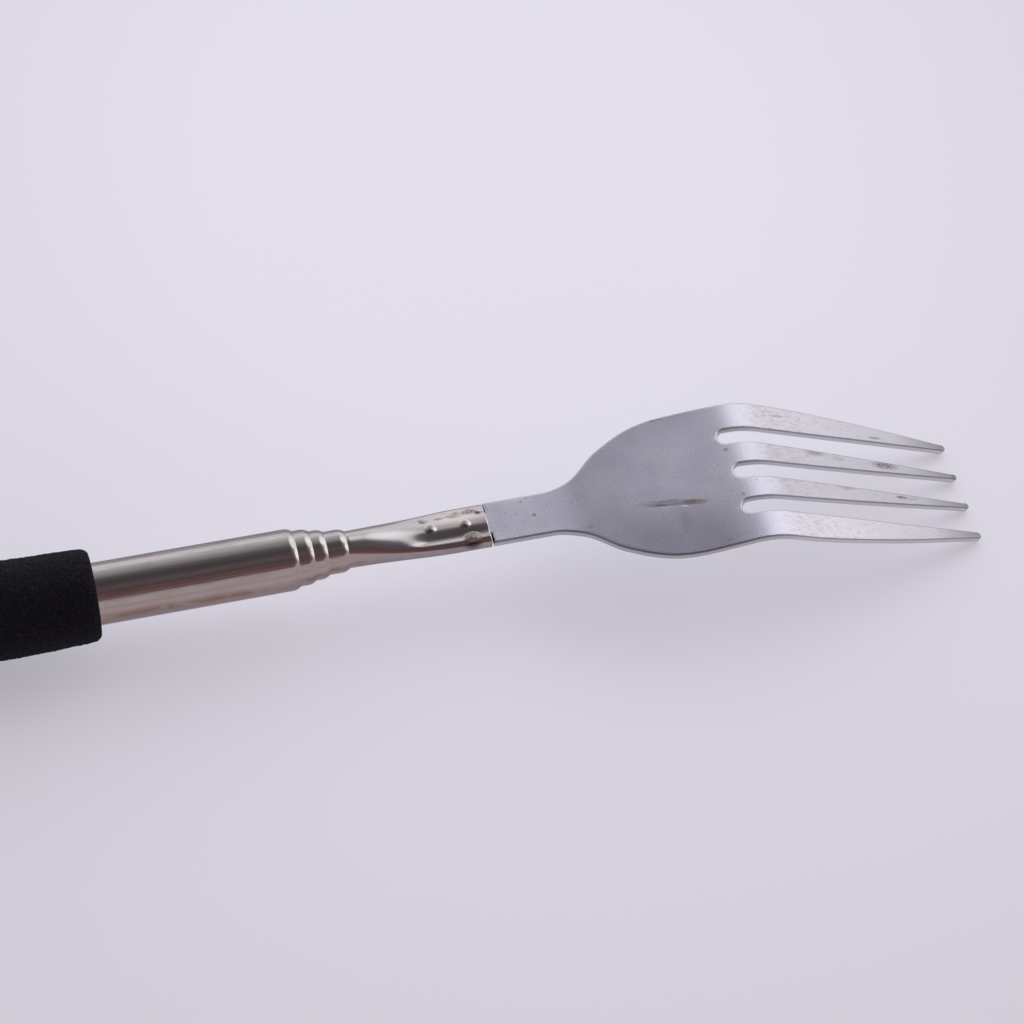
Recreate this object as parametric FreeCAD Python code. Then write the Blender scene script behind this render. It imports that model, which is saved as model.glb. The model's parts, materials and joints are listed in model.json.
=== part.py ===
"""Telescopic roasting fork, closed up: a foam grip on a nest of five steel tubes and a stamped fork.

Everything is designed in the tool's own frame, with the tubes' common axis along +X, the grip's rear
end at x = 0 and the fork at the front. seat_on_floor() then tips the finished pieces so that the
fork lies on z = 0 on its two outer tine tips and the rear edge of its grip.
All sizes are in millimetres.
"""
import FreeCAD, Part
import math
import os

V = FreeCAD.Vector
X_AXIS = V(1, 0, 0)
Y_AXIS = V(0, 1, 0)
Z_AXIS = V(0, 0, 1)

# Nest of tubes, listed from the outside in
TUBE_RADII = [5.0, 4.5, 4.0, 3.5, 3.0]
WALL = 0.25
NOSE_X = [117.2, 119.8, 122.1, 125.5]      # front ends of the four tubes with a rolled nose
NOSE_LENGTH = 1.2                          # length over which a tube end is rolled in
NOSE_LIP = 0.1                             # height of the flat ring left at the very front
NECK_CLEARANCE = 0.03                      # radial, rolled nose to the tube that runs through it

# Rear end of each inner tube: a flare, two friction shims and a bead that keeps the shims in place
NEST_REAR_X = 9.4
FLARE_LENGTH = 0.8
FLARE_CONE = 0.4
FLARE_CLEARANCE = 0.04
SHIM_LENGTH = 10.0
SHIM_ARC = 168.0                           # degrees covered by one half shell
SHIM_CLEARANCE = 0.03                      # radial, on both sides of the shim
SHIM_END_GAP = 0.1
BEAD_HEIGHT = 0.15
BEAD_WIDTH = 0.9
END_STOP_GAP = 0.3                         # left between bead and rolled nose at full travel

# Grip and end plug
GRIP_LENGTH = 84.9
GRIP_RADIUS = 7.8
GRIP_FRONT_RADIUS = 7.5
GRIP_TAPER_LENGTH = 14.0
GRIP_EDGE = 1.2
PLUG_DEPTH = 9.0
PLUG_CLEARANCE = 0.02
PLUG_CHAMFER = 0.5
PLUG_FLANGE_RADIUS = 7.0
PLUG_FLANGE_THICKNESS = 2.6
PLUG_EDGE = 1.0

# Front end of the innermost tube, pressed flat over the fork's tang
PRESS_START_X = 125.9
PRESS_END_X = 142.6
SOCKET_END_X = 149.0
SOCKET_HALF_HEIGHT = 1.05
# Weld spots through the socket's upper wall: x, y, radius, height of the dome above the wall
WELDS = [(139.5, 0.2, 0.85, 0.25), (145.2, 0.05, 0.85, 0.22), (145.85, -2.3, 1.0, 0.4)]

# Fork head, stamped from one sheet. FORK_X is where the fork's own x = 0 lies on the tool's axis
FORK_X = 116.6
SHEET = 1.3
TANG_REAR = 22.0
TANG_HALF_WIDTH = 3.1
NECK_START = 32.5
NECK_HALF_WIDTH = 4.05
NECK_CORNER = 0.2                          # cut off the neck's two rear corners
NECK_END = 42.5
TINE_TIP = 117.4
NECK_BEND = 46.9                           # where the palm starts to rise from the neck's plane
PALM_RISE = 5.0                            # degrees
TINE_BEND = 77.5                           # where the tines turn down
TINE_DROP = 24.9                           # degrees below the neck's plane
NECK_BEND_RADIUS = 30.0
TINE_BEND_RADIUS = 13.0
SLOT_ROOT = 73.3                           # rear ends of the two outer slots
MIDDLE_ROOT = 74.0                         # rear end of the middle slot
SLOT_MOUTH = 0.9                           # tine tip rounding, measured along the tine
# Half of the plan outline, as (x, y) points of smooth curves
SHOULDER = [(NECK_END, NECK_HALF_WIDTH), (46.9, 5.15), (53.0, 9.8), (60.0, 13.05), (69.0, 13.8)]
OUTER_FLANK = [(69.0, 13.8), (76.0, 13.75), (83.0, 13.75), (98.0, 12.6), (TINE_TIP - SLOT_MOUTH, 10.05)]
SLOT_OUTER_EDGE = [(TINE_TIP - SLOT_MOUTH, 8.7), (74.6, 8.45)]
SLOT_INNER_EDGE = [(74.6, 5.75), (88.0, 5.25), (102.0, 4.55), (TINE_TIP - SLOT_MOUTH, 3.65)]
MIDDLE_EDGE = [(TINE_TIP - SLOT_MOUTH, 2.55), (98.0, 1.92), (75.4, 1.42)]


def line(a, b):
    return Part.LineSegment(a, b).toShape()


def arc(a, middle, b):
    return Part.Arc(a, middle, b).toShape()


def spline(points, start_tangent=None, end_tangent=None):
    curve = Part.BSplineCurve()
    if start_tangent is None:
        curve.interpolate(points)
    else:
        curve.interpolate(Points=points, InitialTangent=start_tangent, FinalTangent=end_tangent)
    return curve.toShape()


def closed_path(points):
    return [line(a, b) for a, b in zip(points, points[1:] + points[:1])]


def ring_of(edges, angle=360.0):
    """Solid turned from a closed outline in the XZ plane, z being the radius."""
    face = Part.Face(Part.Wire(edges))
    return face.revolve(V(0, 0, 0), X_AXIS, angle)


def at(x, r):
    return V(x, 0, r)


def arc_about(centre_x, centre_r, radius, start, end):
    """Arc between two angles, in degrees from +X towards +radius."""
    def on_arc(degrees):
        a = math.radians(degrees)
        return at(centre_x + radius * math.cos(a), centre_r + radius * math.sin(a))
    return arc(on_arc(start), on_arc((start + end) / 2), on_arc(end))


def bore_radius(index):
    return TUBE_RADII[index] - WALL


def neck_radius(index):
    return TUBE_RADII[index + 1] + NECK_CLEARANCE


def shim_start():
    return NEST_REAR_X + FLARE_LENGTH + FLARE_CONE + SHIM_END_GAP


def bead_start():
    return shim_start() + SHIM_LENGTH + SHIM_END_GAP


def rear_outline(index):
    """(x, radius) points of an inner tube's outside, from its rear end to the front of its bead."""
    radius = TUBE_RADII[index]
    flare = bore_radius(index - 1) - FLARE_CLEARANCE
    bead = bead_start()
    cone = BEAD_WIDTH / 3
    return [(NEST_REAR_X, flare),
            (NEST_REAR_X + FLARE_LENGTH, flare),
            (NEST_REAR_X + FLARE_LENGTH + FLARE_CONE, radius),
            (bead, radius),
            (bead + cone, radius + BEAD_HEIGHT),
            (bead + 2 * cone, radius + BEAD_HEIGHT),
            (bead + BEAD_WIDTH, radius)]


def nose_edges(index):
    """Rolled nose: the wall curves in until it meets the next tube, and ends in a narrow flat ring."""
    radius = TUBE_RADII[index]
    neck = neck_radius(index)
    front = NOSE_X[index]
    start = front - NOSE_LENGTH
    drop = radius - neck - NOSE_LIP
    roll = (NOSE_LENGTH ** 2 + drop ** 2) / (2 * drop)
    outer_turn = math.degrees(math.asin(NOSE_LENGTH / roll))
    inner_turn = math.degrees(math.acos(1 - (bore_radius(index) - neck) / (roll - WALL)))
    neck_start = start + (roll - WALL) * math.sin(math.radians(inner_turn))
    return [arc_about(start, radius - roll, roll, 90, 90 - outer_turn),
            line(at(front, neck + NOSE_LIP), at(front, neck)),
            line(at(front, neck), at(neck_start, neck)),
            arc_about(start, radius - roll, roll - WALL, 90 - inner_turn, 90)]


def nosed_tube(index):
    if index == 0:
        outside = [(0, TUBE_RADII[0])]
    else:
        outside = rear_outline(index)
    nose_start = NOSE_X[index] - NOSE_LENGTH
    front = [at(nose_start, TUBE_RADII[index]), at(nose_start, bore_radius(index))]
    outer = [at(x, r) for x, r in outside] + front[:1]
    inner = front[1:] + [at(x, r - WALL) for x, r in reversed(outside)]
    edges = [line(a, b) for a, b in zip(outer, outer[1:])]
    edges += nose_edges(index)
    edges += [line(a, b) for a, b in zip(inner, inner[1:])]
    edges.append(line(inner[-1], outer[0]))
    return ring_of(edges)


def shim(index, side):
    """Half shell of brass around an inner tube; side is +1 for the upper one and -1 for the lower."""
    inner = TUBE_RADII[index] + SHIM_CLEARANCE
    outer = bore_radius(index - 1) - SHIM_CLEARANCE
    rear = shim_start()
    front = rear + SHIM_LENGTH
    corners = [at(rear, inner), at(front, inner), at(front, outer), at(rear, outer)]
    shell = ring_of(closed_path(corners), SHIM_ARC)
    shell.rotate(V(0, 0, 0), X_AXIS, -SHIM_ARC / 2)
    if side < 0:
        shell.rotate(V(0, 0, 0), X_AXIS, 180)
    return shell


def socket_half_height(x):
    """Half height of the pressed tube, whose half width grows evenly along the press at constant girth."""
    radius = TUBE_RADII[-1]
    t = min(1.0, (x - PRESS_START_X) / (PRESS_END_X - PRESS_START_X))
    return radius + (SOCKET_HALF_HEIGHT - radius) * t


def socket_section(x, inset):
    """Section of the pressed tube: two straight sides and two half circles, of constant outside girth."""
    half_height = socket_half_height(x)
    flat = (TUBE_RADII[-1] - half_height) * math.pi / 2
    h = half_height - inset
    if flat < 0.01:
        # still round: four quarter arcs, which the loft joins to the four sides of the next section
        c = h * math.sqrt(0.5)
        corners = [V(x, c, -c), V(x, c, c), V(x, -c, c), V(x, -c, -c)]
        middles = [V(x, h, 0), V(x, 0, h), V(x, -h, 0), V(x, 0, -h)]
        return Part.Wire([arc(corners[i], middles[i], corners[(i + 1) % 4]) for i in range(4)])
    return Part.Wire([arc(V(x, flat, -h), V(x, flat + h, 0), V(x, flat, h)),
                      line(V(x, flat, h), V(x, -flat, h)),
                      arc(V(x, -flat, h), V(x, -flat - h, 0), V(x, -flat, -h)),
                      line(V(x, -flat, -h), V(x, flat, -h))])


def pressed_end(inset):
    """Round tube end that flattens to the socket, as a solid lying inset inside the tube's outside."""
    round_end = socket_section(PRESS_START_X, inset)
    flat_end = socket_section(PRESS_END_X, inset)
    taper = Part.makeLoft([round_end, flat_end], True)
    flat = Part.Face(flat_end).extrude(V(SOCKET_END_X - PRESS_END_X, 0, 0))
    return taper.fuse(flat)


def weld(x, y, radius, height):
    """Plug of weld metal from the tang's upper face through the socket's wall, with a domed top."""
    foot = SHEET / 2
    rim = socket_half_height(x)
    top = rim + height
    dome_radius = (radius ** 2 + height ** 2) / (2 * height)
    half_way = top - dome_radius + math.sqrt(dome_radius ** 2 - (radius / 2) ** 2)
    outline = [line(at(0, foot), at(radius, foot)),
               line(at(radius, foot), at(radius, rim)),
               arc(at(radius, rim), at(radius / 2, half_way), at(0, top)),
               line(at(0, top), at(0, foot))]
    plug = Part.Face(Part.Wire(outline)).revolve(V(0, 0, 0), Z_AXIS, 360)
    plug.translate(V(x, y, 0))
    return plug


def inner_tube():
    outside = rear_outline(len(TUBE_RADII) - 1)
    radius = TUBE_RADII[-1]
    shaft_points = [at(x, r) for x, r in outside] + [at(PRESS_START_X, radius), at(PRESS_START_X, 0),
                                                     at(NEST_REAR_X, 0)]
    shaft = ring_of(closed_path(shaft_points))
    bore_points = [at(x, r - WALL) for x, r in outside] + [at(PRESS_START_X, radius - WALL),
                                                           at(PRESS_START_X, 0), at(NEST_REAR_X, 0)]
    bore = ring_of(closed_path(bore_points))
    tube = shaft.fuse(pressed_end(0)).cut(bore.fuse(pressed_end(WALL)))
    for spot in WELDS:
        tube = tube.fuse(weld(*spot))
    return tube.removeSplitter()


def foam_grip():
    bore = TUBE_RADII[0]
    taper_start = GRIP_LENGTH - GRIP_TAPER_LENGTH
    front_edge = GRIP_LENGTH - GRIP_EDGE
    return ring_of([
        line(at(0, bore), at(0, GRIP_RADIUS - GRIP_EDGE)),
        arc_about(GRIP_EDGE, GRIP_RADIUS - GRIP_EDGE, GRIP_EDGE, 180, 90),
        line(at(GRIP_EDGE, GRIP_RADIUS), at(taper_start, GRIP_RADIUS)),
        line(at(taper_start, GRIP_RADIUS), at(front_edge, GRIP_FRONT_RADIUS)),
        arc_about(front_edge, GRIP_FRONT_RADIUS - GRIP_EDGE, GRIP_EDGE, 90, 0),
        line(at(GRIP_LENGTH, GRIP_FRONT_RADIUS - GRIP_EDGE), at(GRIP_LENGTH, bore)),
        line(at(GRIP_LENGTH, bore), at(0, bore))])


def end_plug():
    """Plastic plug: a spigot pressed into the outer tube and a flange over the foam's rear face."""
    spigot = bore_radius(0) - PLUG_CLEARANCE
    rear = -PLUG_FLANGE_THICKNESS
    shoulder = PLUG_FLANGE_RADIUS - PLUG_EDGE
    return ring_of([
        line(at(rear, 0), at(rear, shoulder)),
        arc_about(rear + PLUG_EDGE, shoulder, PLUG_EDGE, 180, 90),
        line(at(rear + PLUG_EDGE, PLUG_FLANGE_RADIUS), at(0, PLUG_FLANGE_RADIUS)),
        line(at(0, PLUG_FLANGE_RADIUS), at(0, spigot)),
        line(at(0, spigot), at(PLUG_DEPTH - PLUG_CHAMFER, spigot)),
        line(at(PLUG_DEPTH - PLUG_CHAMFER, spigot), at(PLUG_DEPTH, spigot - PLUG_CHAMFER)),
        line(at(PLUG_DEPTH, spigot - PLUG_CHAMFER), at(PLUG_DEPTH, 0)),
        line(at(PLUG_DEPTH, 0), at(rear, 0))])


def fork_side_profile():
    """Side view of the bent sheet: neck, rising palm and falling tines, with rounded bends."""
    half = SHEET / 2
    rise = math.radians(PALM_RISE)
    drop = math.radians(TINE_DROP)
    palm_end_z = (TINE_BEND - NECK_BEND) * math.tan(rise)
    # middle line of the sheet, run a little past both ends so that the plan outline trims it
    corners = [(TANG_REAR - 5, 0), (NECK_BEND, 0), (TINE_BEND, palm_end_z),
               (TINE_TIP + 5, palm_end_z - (TINE_TIP + 5 - TINE_BEND) * math.tan(drop))]
    headings = [0, rise, -drop]
    radii = [NECK_BEND_RADIUS, TINE_BEND_RADIUS]

    def side(offset):
        """Edges of the middle line moved sideways by offset, from rear to front."""
        edges = []
        start = at(corners[0][0], corners[0][1] + offset)
        for i, radius in enumerate(radii):
            before, after = headings[i], headings[i + 1]
            turn = after - before
            x, z = corners[i + 1]
            reach = radius * math.tan(abs(turn) / 2)
            side_of_centre = math.copysign(1, turn)
            centre = at(x - reach * math.cos(before) - side_of_centre * radius * math.sin(before),
                        z - reach * math.sin(before) + side_of_centre * radius * math.cos(before))
            r = radius - side_of_centre * offset

            def on_bend(heading):
                return centre + at(side_of_centre * r * math.sin(heading),
                                   -side_of_centre * r * math.cos(heading))
            edges.append(line(start, on_bend(before)))
            edges.append(arc(on_bend(before), on_bend((before + after) / 2), on_bend(after)))
            start = on_bend(after)
        x, z = corners[-1]
        end = at(x - offset * math.sin(headings[-1]), z + offset * math.cos(headings[-1]))
        edges.append(line(start, end))
        return edges, end

    top, top_end = side(half)
    bottom, bottom_end = side(-half)
    rear_top = at(corners[0][0], half)
    rear_bottom = at(corners[0][0], -half)
    wire = Part.Wire(Part.__sortEdges__(top + bottom + [line(top_end, bottom_end),
                                                        line(rear_top, rear_bottom)]))
    return Part.Face(wire)


def fork_plan():
    """Plan outline of the fork head, with its tang, palm, four tines and three slots."""
    def p(point, mirror=1):
        return V(point[0], mirror * point[1], 0)

    def half(mirror):
        points = {name: [p(q, mirror) for q in curve] for name, curve in (
            ("shoulder", SHOULDER), ("flank", OUTER_FLANK), ("outer", SLOT_OUTER_EDGE),
            ("inner", SLOT_INNER_EDGE), ("middle", MIDDLE_EDGE))}
        outer_tip = p((TINE_TIP, (OUTER_FLANK[-1][1] + SLOT_OUTER_EDGE[0][1]) / 2), mirror)
        inner_tip = p((TINE_TIP, (SLOT_INNER_EDGE[-1][1] + MIDDLE_EDGE[0][1]) / 2), mirror)
        root = p((SLOT_ROOT, (SLOT_OUTER_EDGE[-1][1] + SLOT_INNER_EDGE[0][1]) / 2), mirror)
        corner_inside = p((NECK_START, NECK_HALF_WIDTH - NECK_CORNER), mirror)
        corner_outside = p((NECK_START + NECK_CORNER, NECK_HALF_WIDTH), mirror)
        return [
            line(p((TANG_REAR, 0)), p((TANG_REAR, TANG_HALF_WIDTH - 1), mirror)),
            line(p((TANG_REAR, TANG_HALF_WIDTH - 1), mirror), p((TANG_REAR + 1, TANG_HALF_WIDTH), mirror)),
            line(p((TANG_REAR + 1, TANG_HALF_WIDTH), mirror), p((NECK_START, TANG_HALF_WIDTH), mirror)),
            line(p((NECK_START, TANG_HALF_WIDTH), mirror), corner_inside),
            line(corner_inside, corner_outside),
            line(corner_outside, points["shoulder"][0]),
            spline(points["shoulder"], X_AXIS, X_AXIS),
            spline(points["flank"]),
            arc(points["flank"][-1], outer_tip, points["outer"][0]),
            line(points["outer"][0], points["outer"][1]),
            arc(points["outer"][-1], root, points["inner"][0]),
            spline(points["inner"]),
            arc(points["inner"][-1], inner_tip, points["middle"][0]),
            spline(points["middle"])]

    ends = [p(MIDDLE_EDGE[-1], 1), p(MIDDLE_EDGE[-1], -1)]
    edges = half(1) + half(-1) + [arc(ends[0], p((MIDDLE_ROOT, 0)), ends[1])]
    return Part.Face(Part.Wire(Part.__sortEdges__(edges)))


def fork_head():
    plan = fork_plan()
    plan.translate(V(0, 0, -40))
    column = plan.extrude(V(0, 0, 80))
    profile = fork_side_profile()
    profile.translate(V(0, -20, 0))
    slab = profile.extrude(V(0, 40, 0))
    head = column.common(slab).removeSplitter()
    head.translate(V(FORK_X, 0, 0))
    return head


def seat_on_floor(pieces):
    """Tips the tool until the grip's rear edge and the tine tips share a level, then sets it on z = 0."""
    head_low = min(pieces["fork_head"].Vertexes, key=lambda v: v.Z).Point
    grip_low = V(GRIP_EDGE, 0, -GRIP_RADIUS)
    tilt = math.degrees(math.atan2(grip_low.z - head_low.z, head_low.x - grip_low.x))
    for shape in pieces.values():
        shape.rotate(V(0, 0, 0), Y_AXIS, -tilt)
    boxes = [shape.optimalBoundingBox(False) for shape in pieces.values()]
    middle = (min(b.XMin for b in boxes) + max(b.XMax for b in boxes)) / 2
    shift = V(-middle, 0, -min(b.ZMin for b in boxes))
    for shape in pieces.values():
        shape.translate(shift)
    return tilt, shift


def travel(index):
    """How far tube number index slides out of the one around it."""
    return NOSE_X[index - 1] - NOSE_LENGTH - END_STOP_GAP - (bead_start() + BEAD_WIDTH)


def build():
    pieces = {"outer_tube": nosed_tube(0), "foam_grip": foam_grip(), "end_plug": end_plug()}
    for index in range(1, len(TUBE_RADII)):
        if index < len(NOSE_X):
            pieces["tube_%d" % (index + 1)] = nosed_tube(index)
        for side, name in ((1, "upper"), (-1, "lower")):
            pieces["shim_%d_%s" % (index + 1, name)] = shim(index, side)
    pieces["inner_tube"] = inner_tube()
    pieces["fork_head"] = fork_head()
    return pieces


pieces = build()
tilt, shift = seat_on_floor(pieces)
os.makedirs("parts", exist_ok=True)
for name, shape in pieces.items():
    shape.exportStep("parts/%s.step" % name)
    print("%-14s valid %s  solids %d  volume %.2f" % (name, shape.isValid(), len(shape.Solids),
                                                      shape.Volume))
print("tilt %.4f degrees, shift %.4f %.4f %.4f" % (tilt, shift.x, shift.y, shift.z))
for index in range(1, len(TUBE_RADII)):
    print("travel of tube %d: %.3f" % (index + 1, travel(index)))
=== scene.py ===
"""Looks for the telescopic roasting fork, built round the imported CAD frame.

Every piece is drawn in the tool's own frame in millimetres: x along the tubes' common axis from the
grip's rear end, y across the tines and z square to both. tool_mesh() puts it into the row frame in
metres.
"""
import json
import math

import bmesh
import bpy
from mathutils import Matrix, Vector, noise


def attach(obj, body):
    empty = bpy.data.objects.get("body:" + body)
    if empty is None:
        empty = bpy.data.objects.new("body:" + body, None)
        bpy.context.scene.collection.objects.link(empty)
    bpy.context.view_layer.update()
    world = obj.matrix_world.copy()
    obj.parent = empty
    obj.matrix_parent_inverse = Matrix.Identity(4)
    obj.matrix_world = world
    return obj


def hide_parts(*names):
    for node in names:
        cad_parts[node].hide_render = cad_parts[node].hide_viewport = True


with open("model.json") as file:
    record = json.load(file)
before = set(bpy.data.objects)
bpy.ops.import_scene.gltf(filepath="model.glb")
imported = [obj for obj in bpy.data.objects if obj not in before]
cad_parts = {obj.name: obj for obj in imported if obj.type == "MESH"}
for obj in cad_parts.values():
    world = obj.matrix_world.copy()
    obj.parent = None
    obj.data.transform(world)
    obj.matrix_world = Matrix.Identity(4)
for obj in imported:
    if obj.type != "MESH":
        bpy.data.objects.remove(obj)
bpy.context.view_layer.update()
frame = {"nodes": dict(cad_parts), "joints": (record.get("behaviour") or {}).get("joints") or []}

# ------------ dimensions, in millimetres
# Nest of tubes, listed from the outside in
TUBE_RADII = [5.0, 4.5, 4.0, 3.5, 3.0]
WALL = 0.25
NOSE_X = [117.2, 119.8, 122.1, 125.5]      # front ends of the four tubes with a rolled nose
NOSE_LENGTH = 1.2
NOSE_LIP = 0.1                             # height of the flat ring left at the very front
NOSE_LIP_EDGE = 0.02                       # rounding of that ring
NECK_CLEARANCE = 0.03                      # radial, rolled nose to the tube that runs through it
NEST_REAR_X = 9.4
FLARE_LENGTH = 0.8
FLARE_CONE = 0.4
FLARE_CLEARANCE = 0.04
SHIM_SEAT = 10.2                           # length between flare and bead
BEAD_WIDTH = 0.9
BEAD_HEIGHT = 0.15

# Foam grip
GRIP_LENGTH = 84.9
GRIP_RADIUS = 7.8
GRIP_FRONT_RADIUS = 7.5
GRIP_TAPER_LENGTH = 14.0
GRIP_EDGE = 1.0
GRIP_FRONT_EDGE = (2.0, 0.9)               # front edge's rounding, along the grip and towards its axis
GRIP_BORE_CLEARANCE = 0.01
PORES = [(1.9, 0.10), (3.9, 0.13)]         # noise frequency per millimetre and depth
LUMPS = (0.22, 0.09)                       # the same
LUMPS_OFFSET = Vector((7, 3, 1))
FOAM_INSET = 0.05                          # keeps the highest pores' rims within the sleeve's size

# Front end of the innermost tube, pressed flat over the fork's tang
PRESS_START_X = 125.9
PRESS_END_X = 142.6
SOCKET_END_X = 149.0
SOCKET_HALF_HEIGHT = 1.05
FULLY_PRESSED = (128.5, 141.0)             # stretch over which the top turns from round to pressed
CREST_HEIGHT = 1.36
CREST_Y = 0.45
CREST_ROUNDING = 0.35
FAR_SLOPE = 0.29
FAR_ROLL = 0.6                             # width over which the top rolls down to the far side
NEAR_ROLL = 1.25
BELLY_FLATNESS = 0.45                      # 0 leaves the underside elliptic, 1 makes it flat
TROUGH_Y = -2.0
TROUGH_DEPTH = 0.40
TROUGH_SHALLOW = 0.16                      # depth left on the trough's near side
TROUGH_WIDTH = 1.9
TROUGH_NEAR_WIDTH = 1.0
TROUGH_RUN = (134.0, 138.6)
TROUGH_FADE = (145.0, 149.0)
TROUGH_FADE_BY = 0.35
WELD_BUMPS = [(139.45, 0.2, 1.05, 0.27), (145.2, 0.05, 1.05, 0.24)]     # x, y, radius, height
NUGGET = (145.85, -2.45, 1.7, 1.10, 0.36)  # x, y, half length, half width, height
NUGGET_GRIT = 0.40
BURR_Y = 2.6
BURR_WIDTH = 0.9
BURR_HEIGHT = 0.12
BURR_START = (141.0, 143.0)
MOUTH_SLANT = 0.03                         # the mouth is cut back by this much per millimetre of y
MOUTH_SLANT_RUN = (140.0, SOCKET_END_X)
MOUTH_FAR_Y = 3.5
MOUTH_LIP = 0.12                           # length over which the mouth's edge is rounded
MOUTH_LIP_DEPTHS = (0.06, 0.14)            # how far in the rounding is near its end and at it

# Fork head, in plan from its own x = 0, which lies at FORK_X on the tool's axis
FORK_X = 116.6
SHEET = 1.3
EDGE_ROUNDING = 0.40
TANG_REAR = 22.0
TANG_HALF_WIDTH = 2.2                      # out of sight, narrow enough to clear the socket's relief
TANG_CHAMFER = 1.0
NECK_START = 32.45
NECK_HALF_WIDTH = 4.05
NECK_CORNER = 0.12
NECK_END = 42.5
TINE_TIP = 117.4
NECK_BEND = 46.9                           # where the palm starts to rise from the neck's plane
PALM_RISE = math.radians(5.0)
TINE_BEND = 77.5                           # where the tines turn down
TINE_DROP = math.radians(24.9)             # below the neck's plane
NECK_BEND_RADIUS = 30.0
TINE_BEND_RADIUS = 13.0
SLOT_ROOT = 73.3                           # rear ends of the two outer slots
MIDDLE_ROOT = 74.0                         # rear end of the middle slot
TIP_BACK = TINE_TIP - 0.9                  # where the rounding of the tine tips starts
SHOULDER = [(NECK_END, NECK_HALF_WIDTH), (46.9, 5.15), (53.0, 9.8), (60.0, 13.05), (69.0, 13.8)]
OUTER_FLANK = [(69.0, 13.8), (76.0, 13.75), (83.0, 13.75), (98.0, 12.6), (TIP_BACK, 10.05)]
SLOT_OUTER_EDGE = [(TIP_BACK, 8.7), (74.6, 8.45)]
SLOT_INNER_EDGE = [(74.6, 5.75), (88.0, 5.25), (102.0, 4.55), (TIP_BACK, 3.65)]
MIDDLE_EDGE = [(TIP_BACK, 2.55), (98.0, 1.92), (75.4, 1.42)]
HALF_WIDTH = 13.5                          # of the palm, just inside its edge
STRIP_LENGTH = 1.0                         # pitch of the cuts that let the flat sheet bend
STRIP_WIDTH = 1.5
NEAR_CROWN = 0.20                          # how far the palm's near side curves down
PALM_MIDDLE = 62
SHEET_WAVES = (0.16, 0.035)                # frequency per millimetre and height of its unevenness

# ------------ the tool's frame
spin = next(j for j in frame["joints"] if j["name"] == "spin_2")
TOOL_ORIGIN = Vector(spin["pos_m"])
TOOL_X = Vector(spin["axis"]).normalized()
TOOL_Y = Vector((0, 1, 0))
TOOL_Z = TOOL_X.cross(TOOL_Y)
MM = 0.001
TOOL = Matrix.Translation(TOOL_ORIGIN) @ Matrix((TOOL_X, TOOL_Y, TOOL_Z)).transposed().to_4x4()


def to_row(point_mm):
    """A point of the tool's frame, in millimetres, in the row frame, in metres."""
    return TOOL @ (Vector(point_mm) * MM)


def tool_mesh(name, points, faces, sharp=35.0):
    """Object from points in the tool's frame, smooth except at edges sharper than sharp degrees."""
    mesh = bpy.data.meshes.new(name)
    mesh.from_pydata([to_row(p) for p in points], [], faces)
    mesh.update()
    finish_mesh(mesh, sharp)
    piece = bpy.data.objects.new(name, mesh)
    bpy.context.scene.collection.objects.link(piece)
    return piece


def finish_mesh(mesh, sharp):
    """Turns the faces outwards and sets smooth shading."""
    bm = bmesh.new()
    bm.from_mesh(mesh)
    bmesh.ops.recalc_face_normals(bm, faces=bm.faces)
    bm.to_mesh(mesh)
    bm.free()
    mesh.polygons.foreach_set("use_smooth", [True] * len(mesh.polygons))
    mesh.set_sharp_from_angle(angle=math.radians(sharp))


def ring_mesh(name, rows, sharp=35.0):
    """Closed skin over loops of equally many points; the last loop is joined to the first."""
    sides = len(rows[0])
    faces = []
    for i in range(len(rows)):
        j = (i + 1) % len(rows)
        for k in range(sides):
            m = (k + 1) % sides
            faces.append((i * sides + k, i * sides + m, j * sides + m, j * sides + k))
    return tool_mesh(name, [point for row in rows for point in row], faces, sharp)


def lathe(name, outline, segments, sharp=35.0, shape=None):
    """Ring turned from a closed outline of (x, radius); shape(x, angle, radius) may change the radius."""
    rows = []
    for x, r in outline:
        row = []
        for k in range(segments):
            angle = 2 * math.pi * k / segments
            radius = shape(x, angle, r) if shape else r
            row.append((x, radius * math.cos(angle), radius * math.sin(angle)))
        rows.append(row)
    return ring_mesh(name, rows, sharp)


def steps(start, end, count):
    """count + 1 evenly spaced values from start to end."""
    return [start + (end - start) * i / count for i in range(count + 1)]


def arc_points(cx, cr, radius, start, end, count):
    """Points of an arc, angles in degrees from +x towards +radius."""
    return [(cx + radius * math.cos(math.radians(a)), cr + radius * math.sin(math.radians(a)))
            for a in steps(start, end, count)]


# ------------ tubes
def bore(index):
    """Inner radius of a tube."""
    return TUBE_RADII[index] - WALL


def rear_outline(index):
    """Outside of an inner tube's rear end: flare, seat of the shims, bead."""
    radius = TUBE_RADII[index]
    flare = bore(index - 1) - FLARE_CLEARANCE
    seat = NEST_REAR_X + FLARE_LENGTH + FLARE_CONE
    bead = seat + SHIM_SEAT
    cone = BEAD_WIDTH / 3
    return [(NEST_REAR_X, flare), (NEST_REAR_X + FLARE_LENGTH, flare), (seat, radius), (bead, radius),
            (bead + cone, radius + BEAD_HEIGHT), (bead + 2 * cone, radius + BEAD_HEIGHT),
            (bead + BEAD_WIDTH, radius)]


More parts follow.
